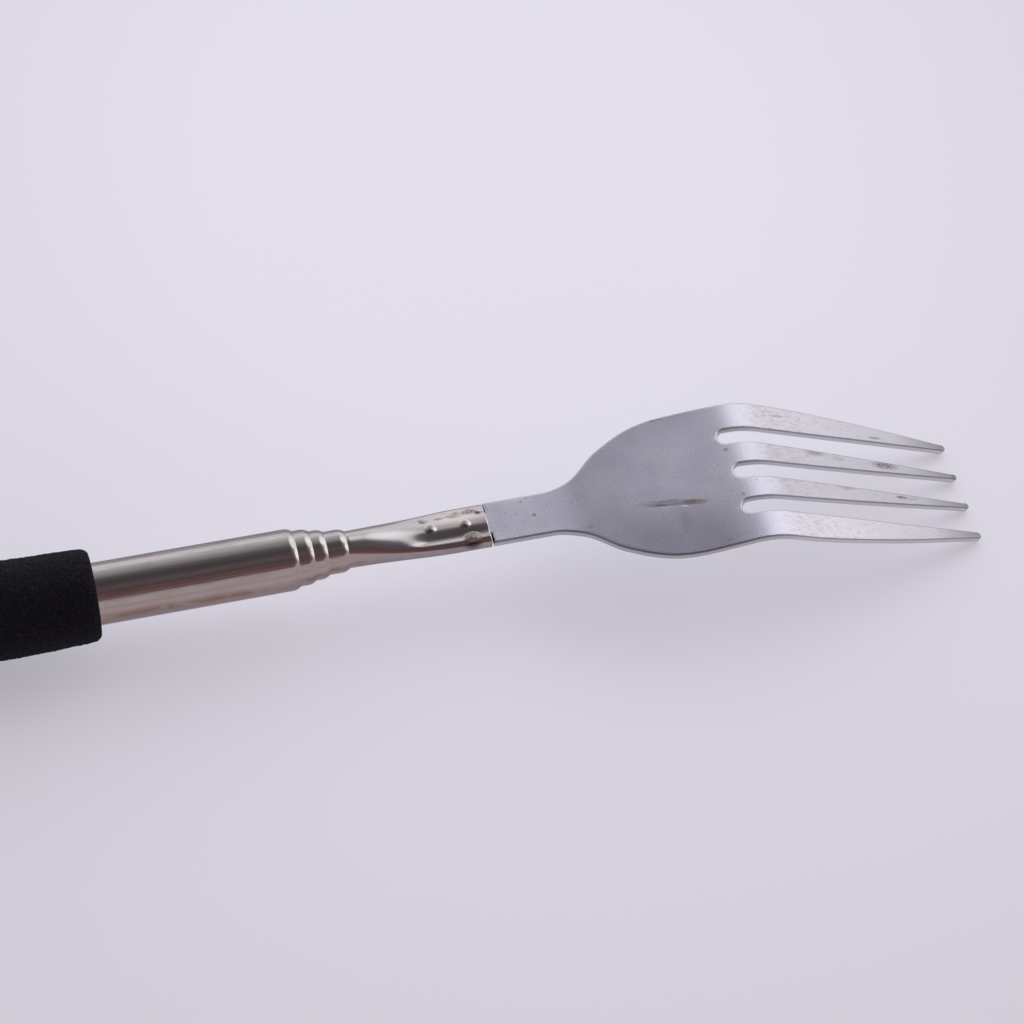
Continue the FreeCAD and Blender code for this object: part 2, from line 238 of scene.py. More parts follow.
def tube_outline(index):
    """Closed outline of a tube with a rolled nose, from its rear end forwards outside and back inside."""
    radius = TUBE_RADII[index]
    neck = TUBE_RADII[index + 1] + NECK_CLEARANCE
    front = NOSE_X[index]
    start = front - NOSE_LENGTH
    drop = radius - neck - NOSE_LIP
    roll = (NOSE_LENGTH ** 2 + drop ** 2) / (2 * drop)
    outer_turn = math.degrees(math.asin(NOSE_LENGTH / roll))
    inner_turn = math.degrees(math.acos(1 - (bore(index) - neck) / (roll - WALL)))
    rear = [(0, radius)] if index == 0 else rear_outline(index)
    body = [(x, radius) for x in steps(rear[-1][0], start, 24)[1:-1]]
    nose = arc_points(start, radius - roll, roll, 90, 90 - outer_turn, 10)
    lip = arc_points(front - NOSE_LIP_EDGE, neck + NOSE_LIP - NOSE_LIP_EDGE, NOSE_LIP_EDGE, 60, 0, 3)
    inside = arc_points(start, radius - roll, roll - WALL, 90 - inner_turn, 90, 6)
    back = [(x, r - WALL) for x, r in reversed(rear)]
    return rear + body + nose + lip + [(front, neck)] + inside + back


def build_tube(index):
    """One of the four tubes with a rolled nose."""
    name = "outer_tube" if index == 0 else "tube_%d" % (index + 1)
    piece = lathe(name + "_skin", tube_outline(index), 144)
    dress(piece, MATERIALS["tube"], "handle" if index == 0 else name, name)


# ------------ socket end of the innermost tube
def bump(distance, width):
    """Smooth hill of height 1 that reaches 0 at width."""
    t = min(1.0, abs(distance) / width)
    return (1 - t * t) ** 2


def ease(value, low, high):
    """Smooth step from 0 at low to 1 at high."""
    t = min(1.0, max(0.0, (value - low) / (high - low)))
    return t * t * (3 - 2 * t)


def soft_ramp(value, width):
    """0 below zero and value above, with a rounded corner of the given width."""
    return width * math.log1p(math.exp(max(-30.0, min(30.0, value / width))))


def socket_half_height(x):
    """Half height of the tube as it is pressed from round to flat."""
    radius = TUBE_RADII[-1]
    t = min(1.0, max(0.0, (x - PRESS_START_X) / (PRESS_END_X - PRESS_START_X)))
    return radius + (SOCKET_HALF_HEIGHT - radius) * t


def trough_depth(x, y):
    """Depth of the hollow along the near side of the pressed top."""
    if y > TROUGH_Y:
        across = TROUGH_DEPTH * (1 - ease(y, TROUGH_Y, TROUGH_Y + TROUGH_WIDTH))
    else:
        across = TROUGH_SHALLOW + (TROUGH_DEPTH - TROUGH_SHALLOW) * bump(y - TROUGH_Y, TROUGH_NEAR_WIDTH)
    return across * ease(x, *TROUGH_RUN) * (1 - TROUGH_FADE_BY * ease(x, *TROUGH_FADE))


def nugget_height(x, y):
    """Height of the rough lump of weld metal."""
    centre_x, centre_y, half_length, half_width, height = NUGGET
    distance = math.hypot((x - centre_x) / half_length, (y - centre_y) / half_width)
    coarse = noise.noise(Vector((x * 2.2, y * 2.2, 0.5)))
    fine = noise.noise(Vector((x * 5.0, y * 5.0, 1.5)))
    return height * (1 - ease(distance, 0.25, 1.0)) * (1 + NUGGET_GRIT * (coarse + 0.6 * fine))


def pressed_top(x, y):
    """Upper surface of the flattened end: crest, slope to the far side, trough, welds and a burr."""
    top = CREST_HEIGHT - FAR_SLOPE * soft_ramp(y - CREST_Y, CREST_ROUNDING)
    top -= trough_depth(x, y)
    for weld_x, weld_y, radius, height in WELD_BUMPS:
        distance = math.hypot(x - weld_x, y - weld_y)
        top += height * (1 - ease(distance, radius * 0.1, radius))
    top += nugget_height(x, y)
    unevenness = noise.noise(Vector((x * 0.7, y * 0.9, 4.0)))
    top += BURR_HEIGHT * bump(y - BURR_Y, BURR_WIDTH) * ease(x, *BURR_START) * unevenness
    return top


def socket_section(x, sides):
    """Outside of the flattened end at x as (y, z) points, from +y over +z."""
    radius = TUBE_RADII[-1]
    half = socket_half_height(x)
    width = half + (radius - half) * math.pi / 2
    pressed = ease(x, *FULLY_PRESSED)
    oval = half + (CREST_HEIGHT - SOCKET_HALF_HEIGHT) * ease(x, PRESS_START_X, PRESS_END_X)
    section = []
    for k in range(sides):
        angle = 2 * math.pi * k / sides
        y = width * math.cos(angle)
        rise = math.sin(angle)
        if rise >= 0:
            roll_width = FAR_ROLL if y > 0 else NEAR_ROLL
            over = max(0.0, (abs(y) - (width - roll_width)) / roll_width)
            roll = math.sqrt(max(0.0, 1 - over * over))
            z = (1 - pressed) * oval * rise + pressed * pressed_top(x, y) * roll
        else:
            z = -half * abs(rise) ** (1 - BELLY_FLATNESS * pressed)
        section.append((y, z))
    return section


def inset(section, depth):
    """The section moved inwards by depth along its own normals."""
    count = len(section)
    result = []
    for k in range(count):
        ay, az = section[k - 1]
        by, bz = section[(k + 1) % count]
        length = math.hypot(by - ay, bz - az)
        y, z = section[k]
        result.append((y - depth * (bz - az) / length, z + depth * (by - ay) / length))
    return result


def slanted(x, section):
    """Points of a section of the socket, whose mouth is cut back a little on its near side."""
    slant = MOUTH_SLANT * ease(x, *MOUTH_SLANT_RUN)
    return [(x - slant * (MOUTH_FAR_Y - y), y, z) for y, z in section]


def build_inner_tube():
    """The innermost tube with its rear end, its round run and the pressed, relief-marked socket."""
    sides = 224
    radius = TUBE_RADII[-1]
    rear = rear_outline(len(TUBE_RADII) - 1)
    round_run = rear + [(x, radius) for x in steps(rear[-1][0], PRESS_START_X, 40)[1:]]
    relief_start = TROUGH_RUN[0]
    relief_end = SOCKET_END_X - MOUTH_LIP
    pressed_run = steps(PRESS_START_X, relief_start, 40)[1:] + steps(relief_start, relief_end, 130)[1:]
    angles = [2 * math.pi * k / sides for k in range(sides)]
    outer = []
    inner = []
    for x, r in round_run:
        outer.append([(x, r * math.cos(a), r * math.sin(a)) for a in angles])
        inner.append([(x, (r - WALL) * math.cos(a), (r - WALL) * math.sin(a)) for a in angles])
    for x in pressed_run:
        section = socket_section(x, sides)
        outer.append(slanted(x, section))
        inner.append(slanted(x, inset(section, WALL)))
    lip_x = (SOCKET_END_X - MOUTH_LIP / 4, SOCKET_END_X)
    lip = [slanted(x, inset(section, depth)) for x, depth in zip(lip_x, MOUTH_LIP_DEPTHS)]
    piece = ring_mesh("inner_tube_skin", outer + lip + inner[::-1])
    dress(piece, MATERIALS["socket"], "fork_end", "inner_tube")


# ------------ fork head
def smooth_curve(points, count=14, first=None, last=None):
    """Points of a cubic through the given ones; first and last are optional unit end directions."""
    pts = [Vector(p) for p in points]
    n = len(pts)
    gaps = [(pts[i + 1] - pts[i]).length for i in range(n - 1)]
    slopes = []
    for i in range(n):
        if i == 0:
            slopes.append(Vector(first) if first else (pts[1] - pts[0]) / gaps[0])
        elif i == n - 1:
            slopes.append(Vector(last) if last else (pts[-1] - pts[-2]) / gaps[-1])
        else:
            before = (pts[i] - pts[i - 1]) / gaps[i - 1]
            after = (pts[i + 1] - pts[i]) / gaps[i]
            slopes.append((before * gaps[i] + after * gaps[i - 1]) / (gaps[i] + gaps[i - 1]))
    curve = []
    for i in range(n - 1):
        for k in range(count):
            t = k / count
            h = gaps[i]
            curve.append(pts[i] * (2 * t ** 3 - 3 * t ** 2 + 1) + slopes[i] * h * (t ** 3 - 2 * t ** 2 + t)
                         + pts[i + 1] * (-2 * t ** 3 + 3 * t ** 2) + slopes[i + 1] * h * (t ** 3 - t ** 2))
    return curve + [pts[-1]]


def arc_through(a, middle, b, count):
    """Points strictly between a and b on the circle through the three points."""
    ax, ay = a
    bx, by = middle
    cx, cy = b
    d = 2 * (ax * (by - cy) + bx * (cy - ay) + cx * (ay - by))
    aa = ax * ax + ay * ay
    bb = bx * bx + by * by
    cc = cx * cx + cy * cy
    ux = (aa * (by - cy) + bb * (cy - ay) + cc * (ay - by)) / d
    uy = (aa * (cx - bx) + bb * (ax - cx) + cc * (bx - ax)) / d
    radius = math.hypot(ax - ux, ay - uy)
    start = math.atan2(ay - uy, ax - ux)
    mid = math.atan2(by - uy, bx - ux)
    end = math.atan2(cy - uy, cx - ux)
    turn = (end - start) % (2 * math.pi)
    if (mid - start) % (2 * math.pi) > turn:
        turn -= 2 * math.pi
    return [Vector((ux + radius * math.cos(start + turn * i / count),
                    uy + radius * math.sin(start + turn * i / count))) for i in range(1, count)]


def half_outline():
    """Plan outline of the left half of the head, from the tang's rear to the middle slot's root."""
    flank = smooth_curve(OUTER_FLANK)
    inner = smooth_curve(SLOT_INNER_EDGE)
    middle = smooth_curve(MIDDLE_EDGE)
    outer = [Vector(p) for p in SLOT_OUTER_EDGE]
    outer_tip = (TINE_TIP, (flank[-1].y + outer[0].y) / 2)
    inner_tip = (TINE_TIP, (inner[-1].y + middle[0].y) / 2)
    root = (SLOT_ROOT, (outer[-1].y + inner[0].y) / 2)
    path = [Vector((TANG_REAR, TANG_HALF_WIDTH - TANG_CHAMFER)),
            Vector((TANG_REAR + TANG_CHAMFER, TANG_HALF_WIDTH)),
            Vector((NECK_START, TANG_HALF_WIDTH)),
            Vector((NECK_START, NECK_HALF_WIDTH - NECK_CORNER)),
            Vector((NECK_START + NECK_CORNER, NECK_HALF_WIDTH))]
    path += smooth_curve(SHOULDER, first=(1, 0), last=(1, 0))
    path += flank[1:] + arc_through(flank[-1], outer_tip, outer[0], 12)
    path += outer + arc_through(outer[-1], root, inner[0], 14)
    path += inner + arc_through(inner[-1], inner_tip, middle[0], 12) + middle
    path += arc_through(middle[-1], (MIDDLE_ROOT, 0), (middle[-1].x, -middle[-1].y), 14)[:7]
    return path


def head_height(x):
    """Height and heading of the sheet's middle surface at plan position x."""
    bends = [(NECK_BEND, 0.0, PALM_RISE, NECK_BEND_RADIUS),
             (TINE_BEND, PALM_RISE, -TINE_DROP, TINE_BEND_RADIUS)]
    corner_z = 0.0
    corner_x = NECK_BEND
    for bend_x, before, after, radius in bends:
        corner_z += (bend_x - corner_x) * math.tan(before)
        corner_x = bend_x
        reach = radius * math.tan(abs(after - before) / 2)
        start_x = bend_x - reach * math.cos(before)
        end_x = bend_x + reach * math.cos(after)
        if x < start_x:
            return corner_z + (x - bend_x) * math.tan(before), before
        if x < end_x:
            side = math.copysign(1, after - before)
            centre_x = start_x - side * radius * math.sin(before)
            centre_z = corner_z - reach * math.sin(before) + side * radius * math.cos(before)
            heading = math.asin((x - centre_x) / (side * radius))
            return centre_z - side * radius * math.cos(heading), heading
    return corner_z + (x - corner_x) * math.tan(-TINE_DROP), -TINE_DROP


def flat_sheet(outline):
    """The outline as a flat sheet with rounded edges, as a mesh."""
    curve = bpy.data.curves.new("fork_plan", "CURVE")
    curve.dimensions = "2D"
    curve.fill_mode = "BOTH"
    curve.extrude = SHEET / 2 - EDGE_ROUNDING
    curve.bevel_depth = EDGE_ROUNDING
    curve.bevel_resolution = 4
    curve.offset = -EDGE_ROUNDING
    spline = curve.splines.new("POLY")
    spline.points.add(len(outline) - 1)
    for point, target in zip(spline.points, outline):
        point.co = (target.x, target.y, 0, 1)
    spline.use_cyclic_u = True
    plan = bpy.data.objects.new("fork_plan", curve)
    bpy.context.scene.collection.objects.link(plan)
    bpy.context.view_layer.update()
    sheet = bpy.data.meshes.new_from_object(plan.evaluated_get(bpy.context.evaluated_depsgraph_get()))
    bpy.data.objects.remove(plan)
    return sheet


def build_fork_head():
    """The stamped sheet: cut into strips while flat, then bent along its length."""
    left = half_outline()
    right = [Vector((p.x, -p.y)) for p in reversed(left)]
    bm = bmesh.new()
    bm.from_mesh(flat_sheet(left + right[1:]))
    bmesh.ops.remove_doubles(bm, verts=bm.verts, dist=0.002)
    cut_into_strips(bm, (1, 0, 0), TANG_REAR + TANG_CHAMFER, TINE_TIP, STRIP_LENGTH)
    cut_into_strips(bm, (0, 1, 0), -HALF_WIDTH, HALF_WIDTH, STRIP_WIDTH)
    points = []
    for v in bm.verts:
        z, heading = head_height(v.co.x)
        lift = v.co.z + palm_relief(v.co.x, v.co.y)
        points.append((FORK_X + v.co.x - lift * math.sin(heading), v.co.y, z + lift * math.cos(heading)))
    bm.verts.index_update()
    faces = [[v.index for v in f.verts] for f in bm.faces]
    bm.free()
    piece = tool_mesh("fork_head_skin", points, faces, sharp=50)
    dress(piece, MATERIALS["fork"], "fork_end", "fork_head")


def palm_relief(x, y):
    """Crown of the palm's near side and the sheet's slight unevenness, along the sheet's normal."""
    crown = -NEAR_CROWN * ease(-y, 3.0, HALF_WIDTH) * bump(x - PALM_MIDDLE, 15)
    frequency, height = SHEET_WAVES
    waves = height * noise.noise(Vector((x * frequency, y * frequency, 2.0)))
    return crown + waves * ease(x, 44.0, 52.0)


def cut_into_strips(bm, normal, start, end, pitch):
    """Cuts the faces every pitch along normal."""
    count = int((end - start) / pitch)
    axis = Vector(normal)
    for i in range(count + 1):
        bmesh.ops.bisect_plane(bm, geom=bm.verts[:] + bm.edges[:] + bm.faces[:],
                               plane_co=axis * (start + i * pitch), plane_no=axis, dist=0.0005)


# ------------ foam grip
def foam_radius(x, angle, radius):
    """Open pores and a faint lumpiness on the sleeve's outside."""
    if radius < TUBE_RADII[0] + 0.5:
        return radius
    around = Vector((x, radius * math.cos(angle), radius * math.sin(angle)))
    pores = sum(noise.noise(around * frequency) * depth for frequency, depth in PORES)
    frequency, depth = LUMPS
    lumps = noise.noise(around * frequency + LUMPS_OFFSET) * depth
    return radius + pores + lumps - FOAM_INSET


def build_grip():
    """The foam sleeve: round rear edge, straight run, slight taper and elliptical front edge."""
    edge_length, edge_depth = GRIP_FRONT_EDGE
    front_edge = GRIP_LENGTH - edge_length
    taper_start = GRIP_LENGTH - GRIP_TAPER_LENGTH
    inner = TUBE_RADII[0] + GRIP_BORE_CLEARANCE
    outline = [(0, r) for r in steps(inner, GRIP_RADIUS - GRIP_EDGE, 6)[:-1]]
    outline += arc_points(GRIP_EDGE, GRIP_RADIUS - GRIP_EDGE, GRIP_EDGE, 180, 90, 6)
    outline += [(x, GRIP_RADIUS) for x in steps(GRIP_EDGE, taper_start, 270)[1:]]
    slope = (GRIP_FRONT_RADIUS - GRIP_RADIUS) / GRIP_TAPER_LENGTH
    outline += [(x, GRIP_RADIUS + slope * (x - taper_start))
                for x in steps(taper_start, front_edge, 50)[1:-1]]
    outline += [(front_edge + edge_length * c, GRIP_FRONT_RADIUS - edge_depth + edge_depth * r)
                for c, r in arc_points(0, 0, 1, 90, 0, 10)]
    outline += [(GRIP_LENGTH, r) for r in steps(GRIP_FRONT_RADIUS - edge_depth, inner, 8)[1:]]
    piece = lathe("foam_sleeve", outline, 216, sharp=60, shape=foam_radius)
    dress(piece, MATERIALS["foam"], "handle", "foam_grip")


# ------------ shader nodes
def new_material(name):
    """Empty node material with a Principled shader on its output."""
    material = bpy.data.materials.new(name)
    material.use_nodes = True
    tree = material.node_tree
    tree.nodes.clear()
    output = tree.nodes.new("ShaderNodeOutputMaterial")
    shader = tree.nodes.new("ShaderNodeBsdfPrincipled")
    tree.links.new(shader.outputs[0], output.inputs["Surface"])
    return material, tree, shader


def feed(tree, socket, value):
    """Links an output to a socket, or sets a constant on it."""
    if isinstance(value, bpy.types.NodeSocket):
        tree.links.new(value, socket)
    else:
        socket.default_value = value


def add(tree, kind, **values):
    """New node; values set its properties, or its inputs where the name is one (spaces written as _)."""
    node = tree.nodes.new(kind)
    for key, value in values.items():
        name = key.replace("_", " ")
        if name in node.inputs:
            feed(tree, node.inputs[name], value)
        else:
            setattr(node, key, value)
    return node


def position(tree):
    """Position in the tool's frame, in millimetres."""
    where = add(tree, "ShaderNodeTexCoord").outputs["Object"]
    return add(tree, "ShaderNodeMapping", vector_type="TEXTURE", Vector=where, Location=TOOL_ORIGIN,
               Rotation=TOOL.to_euler(), Scale=(MM, MM, MM)).outputs[0]


def vector_node(tree, operation, vector, other=(0, 0, 0)):
    """Vector Math node on a link and a constant vector."""
    node = add(tree, "ShaderNodeVectorMath", operation=operation)
    tree.links.new(vector, node.inputs[0])
    node.inputs[1].default_value = other
    return node


def stretched(tree, vector, scale):
    """The vector with each axis multiplied by its scale."""
    return vector_node(tree, "MULTIPLY", vector, scale).outputs["Vector"]


def dot(tree, vector, direction):
    """Dot product of a link and a constant direction."""
    return vector_node(tree, "DOT_PRODUCT", vector, direction).outputs["Value"]


def components(tree, vector):
    """The X, Y and Z outputs of a vector, by name."""
    return add(tree, "ShaderNodeSeparateXYZ", Vector=vector).outputs


def noise_at(tree, vector, scale, detail=3.0, roughness=0.55):
    """Noise from 0 to 1, scale in cycles per unit of the vector."""
    return add(tree, "ShaderNodeTexNoise", Vector=vector, Scale=scale, Detail=detail,
               Roughness=roughness).outputs["Fac"]


def ramp(tree, factor, low, high, low_value=0.0, high_value=1.0):
    """Clamped linear map of factor from low..high to low_value..high_value."""
    node = add(tree, "ShaderNodeMapRange", Value=factor)
    node.inputs["From Min"].default_value = low
    node.inputs["From Max"].default_value = high
    node.inputs["To Min"].default_value = low_value
    node.inputs["To Max"].default_value = high_value
    return node.outputs[0]


def mix_color(tree, factor, a, b, blend="MIX"):
    """Colour a at factor 0 and b at factor 1; a colour is a link or (r, g, b)."""
    node = add(tree, "ShaderNodeMix", data_type="RGBA", blend_type=blend)
    for socket, value in ((node.inputs[0], factor), (node.inputs[6], a), (node.inputs[7], b)):
        feed(tree, socket, value + (1,) if isinstance(value, tuple) else value)
    return node.outputs[2]


def math_node(tree, operation, a, b=0.0):
    """Math on links or numbers."""
    node = add(tree, "ShaderNodeMath", operation=operation)
    feed(tree, node.inputs[0], a)
    feed(tree, node.inputs[1], b)
    return node.outputs[0]


def product(tree, first, *others):
    """Product of links and numbers."""
    for other in others:
        first = math_node(tree, "MULTIPLY", first, other)
    return first


def put_bump(tree, shader, height, strength, distance_mm):
    """Bump of the given height in millimetres, for detail too fine for the mesh."""
    node = add(tree, "ShaderNodeBump", Strength=strength, Distance=distance_mm * MM, Height=height)
    tree.links.new(node.outputs[0], shader.inputs["Normal"])


def spot(tree, place, centre, reach, turn=0.0):
    """1 at centre, falling to 0 at an ellipsoid of half axes reach, turned by some degrees about z."""
    scaled = add(tree, "ShaderNodeMapping", vector_type="TEXTURE", Vector=place, Location=centre,
                 Rotation=(0, 0, math.radians(turn)), Scale=reach).outputs[0]
    distance = vector_node(tree, "LENGTH", scaled).outputs["Value"]
    return ramp(tree, distance, 1.0, 0.0)


# ------------ tubes' material
TUBE_TONES = ((0.395, 0.372, 0.355), (0.455, 0.432, 0.418))
SMUDGE_TONE = (0.32, 0.275, 0.25)
SPECK_TONE = (0.20, 0.165, 0.15)
STAIN_AND_FLOOR_REFLECTION_TONE = (0.455, 0.345, 0.300)
DARK_REFLECTION_TONE = (0.270, 0.195, 0.165)
RIM_REFLECTION_TONE = (0.680, 0.610, 0.600)
STAIN_AND_REFLECTION_SIDE = (0, -0.95, -0.31)           # directions in the tool's frame
LOWER_NEAR_SIDE = (0, -0.83, -0.56)
GRAZING_TINT = (0.50, 0.48, 0.52, 1)       # reflection at a grazing angle


def tube_surface(name):
    """Polished tube: lengthwise lines, handling smudges, a brown stain on the near underside that is
    partly dirt and partly a painted reflection of the warm shaded floor, a painted dark reflection band
    and a painted bright reflection along the lower rim.
    """
    material, tree, shader = new_material(name)
    place = position(tree)
    streaks = noise_at(tree, stretched(tree, place, (0.045, 2.4, 2.4)), 1.0, 4.0)
    fine = noise_at(tree, stretched(tree, place, (0.22, 15.0, 15.0)), 1.0, 2.0)
    smudge = noise_at(tree, stretched(tree, place, (0.22, 0.55, 0.55)), 1.0, 5.0, 0.62)
    speck = noise_at(tree, place, 3.2, 3.0, 0.6)
    dull = ramp(tree, smudge, 0.46, 0.66)
    base = mix_color(tree, ramp(tree, streaks, 0.32, 0.68), *TUBE_TONES)
    base = mix_color(tree, product(tree, dull, 0.40), base, SMUDGE_TONE)
    base = mix_color(tree, ramp(tree, speck, 0.66, 0.76, 0.0, 0.45), base, SPECK_TONE)

    outwards = vector_node(tree, "NORMALIZE", stretched(tree, place, (0, 1, 1))).outputs["Vector"]
    # brown near underside: partly real dirt, partly a painted reflection of the warm, shaded floor
    stain_and_reflection = ramp(tree, dot(tree, outwards, STAIN_AND_REFLECTION_SIDE), 0.48, 0.80)
    stain_and_reflection = product(tree, stain_and_reflection, ramp(tree, smudge, 0.38, 0.60, 0.6, 1.0))
    base = mix_color(tree, stain_and_reflection, base, STAIN_AND_FLOOR_REFLECTION_TONE)
    low = dot(tree, outwards, LOWER_NEAR_SIDE)
    # painted dark reflection: a brown-black band low on the near side, broken up by the smudges
    dark_reflection = product(tree, ramp(tree, low, 0.60, 0.78), ramp(tree, low, 0.90, 0.80),
                     ramp(tree, smudge, 0.40, 0.56, 0.35, 1.0))
    base = mix_color(tree, dark_reflection, base, DARK_REFLECTION_TONE)
    # painted bright reflection along the lower near rim
    base = mix_color(tree, ramp(tree, low, 0.92, 0.99), base, RIM_REFLECTION_TONE)

    tree.links.new(base, shader.inputs["Base Color"])
    shader.inputs["Specular Tint"].default_value = GRAZING_TINT
    shader.inputs["Metallic"].default_value = 1.0
    lines = ramp(tree, fine, 0.3, 0.7, 0.065, 0.115)
    rough = math_node(tree, "ADD", lines, product(tree, dull, 0.10))
    tree.links.new(rough, shader.inputs["Roughness"])
    relief = math_node(tree, "ADD", fine, product(tree, streaks, 0.8))
    put_bump(tree, shader, relief, 0.14, 0.02)
    return material, tree, shader, place, base


# ------------ socket's material
# Marks in the tool's frame: centre, half axes
BURNS = [((141.3, 2.2, 0.9), (1.3, 0.5, 1.5)), ((143.9, 2.35, 0.9), (2.0, 0.7, 1.5)),
         ((146.4, 2.7, 0.9), (1.6, 0.75, 1.5)), ((147.9, 2.1, 0.9), (1.2, 0.5, 1.5)),
         ((138.4, 2.2, 0.9), (1.6, 0.7, 1.5))]
WELD_STAINS = [((139.25, 0.1, 1.4), (0.85, 0.85, 1.2)), ((145.0, 0.0, 1.4), (0.85, 0.9, 1.2))]
NUGGET_SKIN = ((145.85, -2.55, 1.3), (1.7, 1.15, 1.4))
# painted shadow below the weld nugget
NUGGET_SHADOW = ((145.6, -3.75, 0.6), (1.9, 0.55, 1.2))
HEATED = ((143.5, 1.4, 1.0), (7.5, 3.2, 4.0))
PRESSED_TONE = (0.385, 0.380, 0.390)
HEAT_TONE = (0.64, 0.58, 0.54)
BURNT_TONE = (0.085, 0.055, 0.040)
SOOT_TONE = (0.19, 0.155, 0.15)
NUGGET_TONES = ((0.13, 0.11, 0.095), (0.42, 0.39, 0.365))
NUGGET_SHADOW_TONE = (0.06, 0.045, 0.035)


def socket_steel():
    """The same tube with soot, heat tint, a rough weld nugget and a painted shadow under it at its pressed
    end.
    """
    material, tree, shader, place, base = tube_surface("socket_steel")
    patchy = ramp(tree, noise_at(tree, place, 0.75, 4.0, 0.6), 0.36, 0.62)
    grit = noise_at(tree, place, 3.5, 4.0, 0.7)
    pressed = ramp(tree, components(tree, place)["X"], 126.0, 132.0, 0.0, 0.55)
    base = mix_color(tree, pressed, base, PRESSED_TONE)
    base = mix_color(tree, ramp(tree, spot(tree, place, *HEATED), 0.0, 0.8, 0.0, 0.60), base, HEAT_TONE)
    for burn in BURNS:
        mask = product(tree, ramp(tree, spot(tree, place, *burn), 0.0, 0.6), patchy)
        base = mix_color(tree, mask, base, BURNT_TONE)
    for stain in WELD_STAINS:
        mask = ramp(tree, spot(tree, place, *stain), 0.0, 0.40, 0.0, 0.85)
        base = mix_color(tree, mask, base, SOOT_TONE)
    nugget = ramp(tree, spot(tree, place, *NUGGET_SKIN), 0.02, 0.25)
    base = mix_color(tree, nugget, base, mix_color(tree, ramp(tree, grit, 0.35, 0.65), *NUGGET_TONES))
    # painted shadow under the nugget's near side
    nugget_shadow = ramp(tree, spot(tree, place, *NUGGET_SHADOW), 0.0, 0.6, 0.0, 0.85)
    base = mix_color(tree, nugget_shadow, base, NUGGET_SHADOW_TONE)
    tree.links.new(base, shader.inputs["Base Color"])
    rough = math_node(tree, "ADD", ramp(tree, grit, 0.3, 0.7, 0.10, 0.16), product(tree, nugget, 0.38))
    tree.links.new(rough, shader.inputs["Roughness"])
    return material


# ------------ fork's material
# Marks on the fork's upper face: centre and half axes in its own plan, strength
SCUFFS = [((103.5, 9.5), (1.7, 0.30), 0.85), ((103.4, 3.55), (3.0, 0.95), 0.95),
          ((90.1, 4.6), (2.4, 0.9), 0.6), ((94.5, 3.9), (1.6, 0.5), 0.35),
          ((104.3, -3.05), (1.4, 0.38), 1.0), ((106.5, -3.1), (1.5, 0.3), 0.4),
          ((113.4, -8.6), (0.35, 0.22), 1.0), ((73.9, 4.5), (0.6, 0.4), 0.6),
          ((74.0, -4.7), (0.45, 0.4), 0.5), ((69.5, -12.6), (0.5, 0.2), 0.6),
          ((48.4, -4.3), (0.8, 0.18), 0.5), ((64.0, 13.25), (2.0, 0.16), 0.8),
          ((37.3, 0.7), (0.30, 0.25), 0.4), ((40.1, -0.1), (0.45, 0.40), 0.65),
          ((38.6, 2.9), (0.30, 0.3), 0.55), ((35.6, 1.2), (0.3, 0.25), 0.35),
          ((39.6, 3.4), (0.3, 0.2), 0.4), ((71.7, 1.9), (0.22, 0.2), 1.0),
          ((94.0, -2.4), (2.4, 0.35), 0.45), ((85.5, 11.6), (1.6, 0.3), 0.45),
          ((117.0, 2.9), (0.9, 1.2), 0.7)]
# The rub on the palm: centre, half axes, colour, strength, all turned by RUB_TURN degrees
RUBS = [((62.5, -3.35), (6.4, 0.85), (0.240, 0.210, 0.215), 0.80),
        ((66.0, -4.05), (2.7, 0.62), (0.230, 0.182, 0.162), 0.85),
        ((60.3, -3.35), (2.4, 0.26), (0.120, 0.110, 0.150), 0.75),
        ((62.3, -4.05), (3.2, 0.28), (0.520, 0.540, 0.660), 0.60),
        ((64.3, -4.45), (0.8, 0.20), (0.750, 0.760, 0.820), 0.80)]
RUB_TURN = -11.6
SMEAR = ((63.6, -7.0), (1.5, 3.6))
THROUGH = 30.0                             # half axis of a mark, square to the neck's plane
PALM_HEIGHT = 2.0                          # of the rub above that plane
PALM_TONES = ((0.465, 0.467, 0.538), (0.522, 0.524, 0.595))
SHADED_TONE = (0.235, 0.235, 0.290)
BEND_HIGHLIGHT_TONE = (0.535, 0.537, 0.602)
INNER_TINE_TONE = (0.405, 0.400, 0.428)
FAR_TINE_TONE = (0.455, 0.450, 0.480)
NEAR_TINE_TONE = (0.505, 0.500, 0.533)
MOTTLE_TONE = (0.290, 0.262, 0.240)
STREAK_TONE = (0.250, 0.245, 0.262)
TINE_END_TONE = (0.270, 0.262, 0.285)
# tip ends: partly wear, partly painted shade where the tips curve down
TIP_WEAR_AND_SHADE_TONE = (0.150, 0.143, 0.160)
DARK_GRAIN_TONE = (0.215, 0.212, 0.235)
PALE_GRAIN_TONE = (0.600, 0.600, 0.650)
SCUFF_TONE = (0.085, 0.080, 0.085)
SMEAR_TONE = (0.220, 0.215, 0.240)
PIT_TONE = (0.10, 0.09, 0.09)
# painted dark reflection on the rounded edges; painted floor reflection on the side walls below
EDGE_DARK_REFLECTION_TONE = (0.260, 0.290, 0.330)
PALM_WALL_REFLECTION_TONE = (0.520, 0.480, 0.480)
TINE_WALL_REFLECTION_TONE = (0.660, 0.640, 0.655)


def along_fork(tree, place, start, end, low=0.0, high=1.0):
    """Ramp between two places of the fork's own x."""
    return ramp(tree, components(tree, place)["X"], FORK_X + start, FORK_X + end, low, high)


def fork_spot(tree, place, centre, reach, height=0.0, turn=0.0):
    """Spot on the fork's face, from plan coordinates."""
    x, y = centre
    return spot(tree, place, (FORK_X + x, y, height), reach + (THROUGH,), turn)


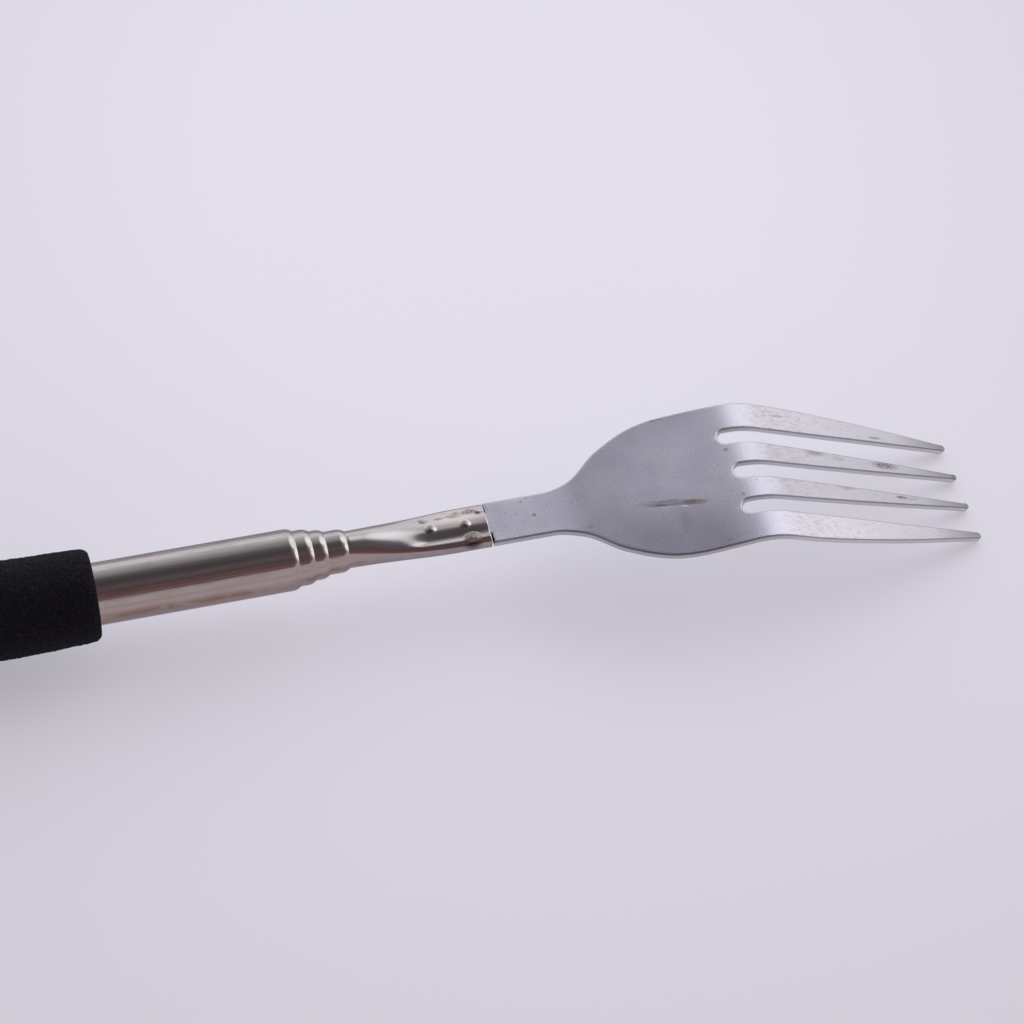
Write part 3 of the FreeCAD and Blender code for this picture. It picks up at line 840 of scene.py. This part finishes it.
def palm_tones(tree, place):
    """Cloudy palm with painted shade towards its shoulders and its near side and a painted highlight
    towards the bend.
    """
    cloud = noise_at(tree, place, 0.16, 4.0, 0.55)
    base = mix_color(tree, ramp(tree, cloud, 0.35, 0.65), *PALM_TONES)
    before_bend = along_fork(tree, place, 75, 69)
    middle = spot(tree, place, (FORK_X + 70, 2.5, 2.5), (30, 17, 14))
    away = ramp(tree, middle, 0.0, 0.75, 1.0, 0.0)
    shoulder_shade = product(tree, away, along_fork(tree, place, 40, 49), before_bend)
    # painted shade on the palm's shoulders and, below, on its near side
    base = mix_color(tree, product(tree, shoulder_shade, 0.50), base, SHADED_TONE)
    near = ramp(tree, components(tree, place)["Y"], -2.5, -9.0)
    near_side_shade = product(tree, near, along_fork(tree, place, 46, 52), before_bend)
    base = mix_color(tree, product(tree, near_side_shade, 0.36), base, SHADED_TONE)
    # painted highlight across the bend
    return mix_color(tree, along_fork(tree, place, 71, 76, 0.0, 0.8), base, BEND_HIGHLIGHT_TONE)


def tine_tones(tree, place, base, tines):
    """Mottled and streaked tines that darken towards their tips; the darkest ends are partly wear and
    partly painted shade.
    """
    across = components(tree, place)["Y"]
    tine_base = mix_color(tree, ramp(tree, across, 7.2, 7.6), INNER_TINE_TONE, FAR_TINE_TONE)
    tine_base = mix_color(tree, ramp(tree, across, -8.0, -8.6), tine_base, NEAR_TINE_TONE)
    base = mix_color(tree, product(tree, tines, 0.95), base, tine_base)
    mottle = noise_at(tree, stretched(tree, place, (0.8, 1.5, 1.2)), 1.0, 6.0, 0.78)
    warm = product(tree, ramp(tree, mottle, 0.50, 0.62, 0.0, 0.55), tines,
                   along_fork(tree, place, 84, 96, 1.0, 0.15))
    base = mix_color(tree, warm, base, MOTTLE_TONE)
    streak = noise_at(tree, stretched(tree, place, (0.30, 3.0, 2.0)), 1.0, 4.0, 0.65)
    streaked = product(tree, ramp(tree, streak, 0.52, 0.68, 0.0, 0.45), tines)
    base = mix_color(tree, streaked, base, STREAK_TONE)
    base = mix_color(tree, along_fork(tree, place, 90, 112, 0.0, 0.48), base, TINE_END_TONE)
    # darkest tip ends: partly wear, partly painted shade
    return mix_color(tree, along_fork(tree, place, 108, 117.0, 0.0, 0.80), base, TIP_WEAR_AND_SHADE_TONE)


def rub_marks(tree, place, base, upper_face):
    """The lens-shaped rub on the palm, its brown end, its pale rim and the faint smear beside it."""
    patchy = noise_at(tree, stretched(tree, place, (0.7, 2.6, 1.0)), 1.0, 4.0)
    patchy = product(tree, ramp(tree, patchy, 0.32, 0.58, 0.35, 1.0), upper_face)
    smear = ramp(tree, fork_spot(tree, place, *SMEAR, PALM_HEIGHT), 0.0, 0.8, 0.0, 0.28)
    base = mix_color(tree, product(tree, smear, upper_face), base, SMEAR_TONE)
    for centre, reach, colour, strength in RUBS:
        mask = fork_spot(tree, place, centre, reach, PALM_HEIGHT, RUB_TURN)
        mask = product(tree, ramp(tree, mask, 0.0, 0.5, 0.0, strength), patchy)
        base = mix_color(tree, mask, base, colour)
    return base


def scuff_marks(tree, place, base, upper_face):
    """Small dark scuffs with ragged outlines."""
    ragged = noise_at(tree, stretched(tree, place, (1.7, 4.4, 3.0)), 1.0, 5.0, 0.7)
    broken = product(tree, ramp(tree, ragged, 0.40, 0.56, 0.25, 1.0), upper_face)
    for centre, reach, strength in SCUFFS:
        mask = ramp(tree, fork_spot(tree, place, centre, reach), 0.0, 0.45, 0.0, strength)
        base = mix_color(tree, product(tree, mask, broken), base, SCUFF_TONE)
    return base


def fork_steel():
    """Tumbled stainless sheet: matt, finely pebbled, with stains, scuffs and burnished edges, plus painted
    dark reflections on its rounded edges, painted floor reflections on its side walls and painted shade
    and highlight on the palm.
    """
    material, tree, shader = new_material("fork_steel")
    place = position(tree)
    pebble = noise_at(tree, place, 3.0, 2.0, 0.5)
    grain = noise_at(tree, stretched(tree, place, (5.0, 8.0, 7.0)), 1.0, 4.0, 0.7)
    pits = add(tree, "ShaderNodeTexVoronoi", Vector=place, Scale=0.27).outputs["Distance"]
    pit_mask = ramp(tree, pits, 0.050, 0.020, 0.0, 0.6)
    facing = components(tree, add(tree, "ShaderNodeTexCoord").outputs["Normal"])["Z"]
    upper_face = ramp(tree, facing, 0.1, 0.3)
    flatness = math_node(tree, "ABSOLUTE", facing)
    wall = ramp(tree, flatness, 0.45, 0.20)
    edge = product(tree, ramp(tree, flatness, 0.92, 0.75), ramp(tree, flatness, 0.15, 0.40))
    tines = along_fork(tree, place, 77, 82)

    base = palm_tones(tree, place)
    base = tine_tones(tree, place, base, tines)
    base = mix_color(tree, ramp(tree, grain, 0.58, 0.70, 0.0, 0.50), base, DARK_GRAIN_TONE)
    base = mix_color(tree, ramp(tree, grain, 0.40, 0.30, 0.0, 0.35), base, PALE_GRAIN_TONE)
    base = rub_marks(tree, place, base, upper_face)
    base = scuff_marks(tree, place, base, upper_face)
    base = mix_color(tree, pit_mask, base, PIT_TONE)
    # painted dark reflection on the rounded edges
    base = mix_color(tree, product(tree, edge, 0.6), base, EDGE_DARK_REFLECTION_TONE)
    # side walls lighter and warmer: painted reflection of the floor
    wall_reflection_base = mix_color(tree, tines, PALM_WALL_REFLECTION_TONE, TINE_WALL_REFLECTION_TONE)
    base = mix_color(tree, product(tree, wall, 0.9), base, wall_reflection_base)

    tree.links.new(base, shader.inputs["Base Color"])
    shader.inputs["Metallic"].default_value = 1.0
    rough = ramp(tree, grain, 0.3, 0.7, 0.36, 0.48)
    burnished = product(tree, rough, ramp(tree, flatness, 0.70, 0.90, 0.45, 1.0))
    tree.links.new(burnished, shader.inputs["Roughness"])
    relief = math_node(tree, "SUBTRACT", pebble, product(tree, pit_mask, 1.2))
    relief = math_node(tree, "ADD", relief, product(tree, grain, 0.45))
    put_bump(tree, shader, relief, 1.0, 0.026)
    return material


# ------------ other materials
FOAM_TONES = ((0.0016, 0.0013, 0.0026), (0.0080, 0.0068, 0.0125))
OPEN_CELL_TONE = (0.019, 0.017, 0.026)
PLASTIC_TONES = ((0.012, 0.012, 0.013), (0.020, 0.020, 0.022))
BRASS_TONES = ((0.70, 0.50, 0.22), (0.83, 0.65, 0.34))
PAPER_TONES = ((0.413, 0.404, 0.444), (0.423, 0.414, 0.454))
# Pool of light on the paper: centre, inner and outer reach in metres, tints inside and outside it
POOL_CENTRE = (0.055, 0.085, 0.0)
POOL_REACH = (0.05, 0.27)
POOL_TINTS = ((1.02, 1.03, 1.04), (0.76, 0.76, 0.76))


def foam_rubber():
    """Black closed-cell foam with cut cells on the surface."""
    material, tree, shader = new_material("foam_rubber")
    place = position(tree)
    cells = add(tree, "ShaderNodeTexVoronoi", Vector=place, Scale=3.4).outputs["Distance"]
    fine = noise_at(tree, place, 4.5, 4.0, 0.7)
    base = mix_color(tree, ramp(tree, fine, 0.38, 0.66), *FOAM_TONES)
    base = mix_color(tree, ramp(tree, cells, 0.55, 0.80, 0.0, 0.6), base, OPEN_CELL_TONE)
    tree.links.new(base, shader.inputs["Base Color"])
    tree.links.new(ramp(tree, fine, 0.3, 0.7, 0.85, 0.98), shader.inputs["Roughness"])
    shader.inputs["Specular IOR Level"].default_value = 0.10
    shader.inputs["Sheen Weight"].default_value = 0.025
    shader.inputs["Sheen Roughness"].default_value = 0.6
    relief = math_node(tree, "ADD", product(tree, cells, 0.7), fine)
    put_bump(tree, shader, relief, 1.0, 0.28)
    return material


def moulded_plastic():
    """Black plastic with a fine moulded grain."""
    material, tree, shader = new_material("moulded_plastic")
    place = position(tree)
    grain = noise_at(tree, place, 6.0, 3.0)
    cloud = noise_at(tree, place, 0.4, 3.0)
    base = mix_color(tree, ramp(tree, cloud, 0.35, 0.65), *PLASTIC_TONES)
    tree.links.new(base, shader.inputs["Base Color"])
    tree.links.new(ramp(tree, grain, 0.3, 0.7, 0.38, 0.55), shader.inputs["Roughness"])
    put_bump(tree, shader, grain, 0.15, 0.03)
    return material


def strip_brass():
    """Bright rolled brass strip with lengthwise lines."""
    material, tree, shader = new_material("strip_brass")
    place = position(tree)
    lines = noise_at(tree, stretched(tree, place, (0.4, 9.0, 9.0)), 1.0, 3.0)
    base = mix_color(tree, ramp(tree, lines, 0.3, 0.7), *BRASS_TONES)
    tree.links.new(base, shader.inputs["Base Color"])
    shader.inputs["Metallic"].default_value = 1.0
    tree.links.new(ramp(tree, lines, 0.3, 0.7, 0.22, 0.36), shader.inputs["Roughness"])
    put_bump(tree, shader, lines, 0.15, 0.02)
    return material


def paper():
    """White paper with a painted glow from its emission, which lightens the shadows on it, and a painted
    pool of light.
    """
    material, tree, shader = new_material("paper")
    where = add(tree, "ShaderNodeTexCoord").outputs["Object"]
    fibres = noise_at(tree, where, 900.0, 4.0)
    cloud = noise_at(tree, where, 3.0, 2.0)
    base = mix_color(tree, ramp(tree, cloud, 0.3, 0.7), *PAPER_TONES)
    distance = vector_node(tree, "DISTANCE", where, POOL_CENTRE).outputs["Value"]
    tint = mix_color(tree, ramp(tree, distance, *POOL_REACH), *POOL_TINTS)
    base = mix_color(tree, 1.0, base, tint, "MULTIPLY")
    tree.links.new(base, shader.inputs["Base Color"])
    tree.links.new(base, shader.inputs["Emission Color"])
    # painted glow: the paper emits light to lighten the shadows on it
    shader.inputs["Emission Strength"].default_value = 0.88
    shader.inputs["Roughness"].default_value = 0.85
    shader.inputs["Specular IOR Level"].default_value = 0.1
    put_bump(tree, shader, fibres, 0.08, 0.05)
    return material


# ------------ pieces and the frame
def dress(piece, material, body, node):
    """Gives a piece its material and tells the frame what it stands for."""
    piece.data.materials.clear()
    piece.data.materials.append(material)
    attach(piece, body)
    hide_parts(node)


def repaint(node, material):
    """Gives its material to a CAD node that is shown as it is."""
    piece = frame["nodes"][node]
    piece.data.materials.clear()
    piece.data.materials.append(material)


# ------------ studio
def build_floor():
    """Wide sheet of paper at the height the object rests on."""
    bm = bmesh.new()
    bmesh.ops.create_grid(bm, x_segments=8, y_segments=8, size=3.0)
    mesh = bpy.data.meshes.new("floor")
    bm.to_mesh(mesh)
    bm.free()
    floor = bpy.data.objects.new("floor", mesh)
    floor.data.materials.append(paper())
    bpy.context.scene.collection.objects.link(floor)


def area_light(name, direction, distance, size, power, colour):
    """Soft box facing the tubes' front, left out of reflections: the steel reflects the painted room."""
    light = bpy.data.lights.new(name, "AREA")
    light.shape = "RECTANGLE"
    light.size, light.size_y = size
    light.energy = power
    light.color = colour
    lamp = bpy.data.objects.new(name, light)
    away = Vector(direction).normalized()
    lamp.location = to_row((FORK_X, 0, 0)) + away * distance
    lamp.rotation_mode = "QUATERNION"
    lamp.rotation_quaternion = away.to_track_quat("Z", "Y")
    lamp.visible_camera = False
    lamp.visible_glossy = False
    bpy.context.scene.collection.objects.link(lamp)


def colour_ramp(tree, factor, stops):
    """Colour by factor, from (position, colour) stops."""
    node = add(tree, "ShaderNodeValToRGB", Fac=factor)
    elements = node.color_ramp.elements
    while len(elements) < len(stops):
        elements.new(0.5)
    for element, (place, colour) in zip(elements, stops):
        element.position = place
        element.color = colour + (1,)
    return node.outputs["Color"]


# Brightness of the room by the sine of the height above the horizon, mostly bright low down and dark
# overhead, for the half of the room in front of the fork (low Y), behind it and to its right
ROOM_BEHIND = [(0.0, (1.20, 1.17, 1.24)), (0.42, (1.30, 1.27, 1.34)), (0.50, (0.97, 0.95, 1.00)),
               (0.71, (0.66, 0.65, 0.70)), (0.88, (0.37, 0.36, 0.39)), (0.94, (0.20, 0.19, 0.205)),
               (1.0, (0.115, 0.10, 0.11))]
ROOM_IN_FRONT = [(0.0, (0.68, 0.62, 0.68)), (0.37, (0.67, 0.60, 0.66)), (0.45, (0.53, 0.45, 0.49)),
                 (0.50, (0.17, 0.10, 0.11)), (0.59, (0.37, 0.20, 0.20)), (0.66, (0.17, 0.10, 0.11)),
                 (0.74, (0.28, 0.145, 0.145)), (0.80, (0.14, 0.105, 0.11)), (0.95, (0.19, 0.15, 0.16)),
                 (1.0, (0.115, 0.10, 0.11))]
ROOM_RIGHT = [(0.0, (1.40, 1.35, 1.40)), (0.35, (1.55, 1.50, 1.56)), (0.50, (1.45, 1.42, 1.50)),
              (0.66, (1.00, 0.98, 1.05)), (0.84, (0.42, 0.41, 0.45)), (1.0, (0.12, 0.11, 0.12))]
SOFTBOX_TOWARDS = Vector((0.60, 0.50, 0.62)).normalized()
SOFTBOX_COLOUR = (1.90, 1.84, 1.94)
SIDE_LAMP_TOWARDS = Vector((0.86, -0.05, 0.50)).normalized()
SIDE_LAMP_COLOUR = (2.05, 1.98, 2.06)


def build_world():
    """The room round the object, painted by direction, which the steel reflects."""
    world = bpy.data.worlds.new("studio")
    world.use_nodes = True
    tree = world.node_tree
    background = tree.nodes["Background"]
    direction = add(tree, "ShaderNodeTexCoord").outputs["Generated"]
    towards = components(tree, direction)
    behind = colour_ramp(tree, towards["Z"], ROOM_BEHIND)
    in_front = colour_ramp(tree, towards["Z"], ROOM_IN_FRONT)
    right = colour_ramp(tree, towards["Z"], ROOM_RIGHT)
    colour = mix_color(tree, ramp(tree, towards["Y"], -0.15, 0.15), in_front, behind)
    beside = product(tree, ramp(tree, towards["X"], 0.20, 0.56), ramp(tree, towards["Y"], -0.45, 0.10))
    colour = mix_color(tree, beside, colour, right)
    softbox = ramp(tree, dot(tree, direction, SOFTBOX_TOWARDS), 0.90, 0.965)
    colour = mix_color(tree, softbox, colour, SOFTBOX_COLOUR)
    side_lamp = ramp(tree, dot(tree, direction, SIDE_LAMP_TOWARDS), 0.94, 0.985)
    colour = mix_color(tree, side_lamp, colour, SIDE_LAMP_COLOUR)
    tree.links.new(colour, background.inputs["Color"])
    background.inputs["Strength"].default_value = 1.0
    bpy.context.scene.world = world


# Viewing angle and lens, in the tool's frame: degrees and millimetres
VIEW_AZIMUTH = math.radians(-20.33)
VIEW_ELEVATION = math.radians(54.63)
VIEW_ROLL = math.radians(6.84)
VIEW_DISTANCE = 501.8
VIEW_TARGET = Vector((FORK_X + 36.92, 1.67, 0))
LENS = 108.73
SENSOR_WIDTH = 36.0


def build_camera():
    """Camera over the near side of the tool, aimed at the fork's neck."""
    back = Vector((math.sin(VIEW_AZIMUTH) * math.cos(VIEW_ELEVATION),
                   -math.cos(VIEW_AZIMUTH) * math.cos(VIEW_ELEVATION), math.sin(VIEW_ELEVATION)))
    up = (Vector((0, 0, 1)) - back * back.z).normalized()
    up = Matrix.Rotation(VIEW_ROLL, 3, back) @ up
    right = up.cross(back)
    data = bpy.data.cameras.new("camera")
    data.sensor_width = SENSOR_WIDTH
    data.lens = LENS
    data.clip_start = 0.01
    data.clip_end = 50.0
    camera = bpy.data.objects.new("camera", data)
    turn = Matrix((right, up, back)).transposed().to_4x4()
    camera.matrix_world = TOOL @ Matrix.Translation((VIEW_TARGET + back * VIEW_DISTANCE) * MM) @ turn
    bpy.context.scene.collection.objects.link(camera)
    bpy.context.scene.camera = camera


# ------------ build
MATERIALS = {"tube": tube_surface("tube_steel")[0], "socket": socket_steel(), "fork": fork_steel(),
             "foam": foam_rubber(), "plug": moulded_plastic(), "brass": strip_brass()}

for index in range(len(NOSE_X)):
    build_tube(index)
build_inner_tube()
build_fork_head()
build_grip()
repaint("end_plug", MATERIALS["plug"])
for node in frame["nodes"]:
    if node.startswith("shim_"):
        repaint(node, MATERIALS["brass"])

build_floor()
build_world()
area_light("key_box", (0.75, 0.45, 0.45), 1.3, (1.5, 1.1), 4.0, (1.0, 0.985, 1.0))
area_light("top_fill", (-0.2, 0.7, 1.0), 1.6, (3.0, 2.4), 9.0, (1.0, 0.98, 1.0))
build_camera()
bpy.context.scene.view_settings.view_transform = "Standard"
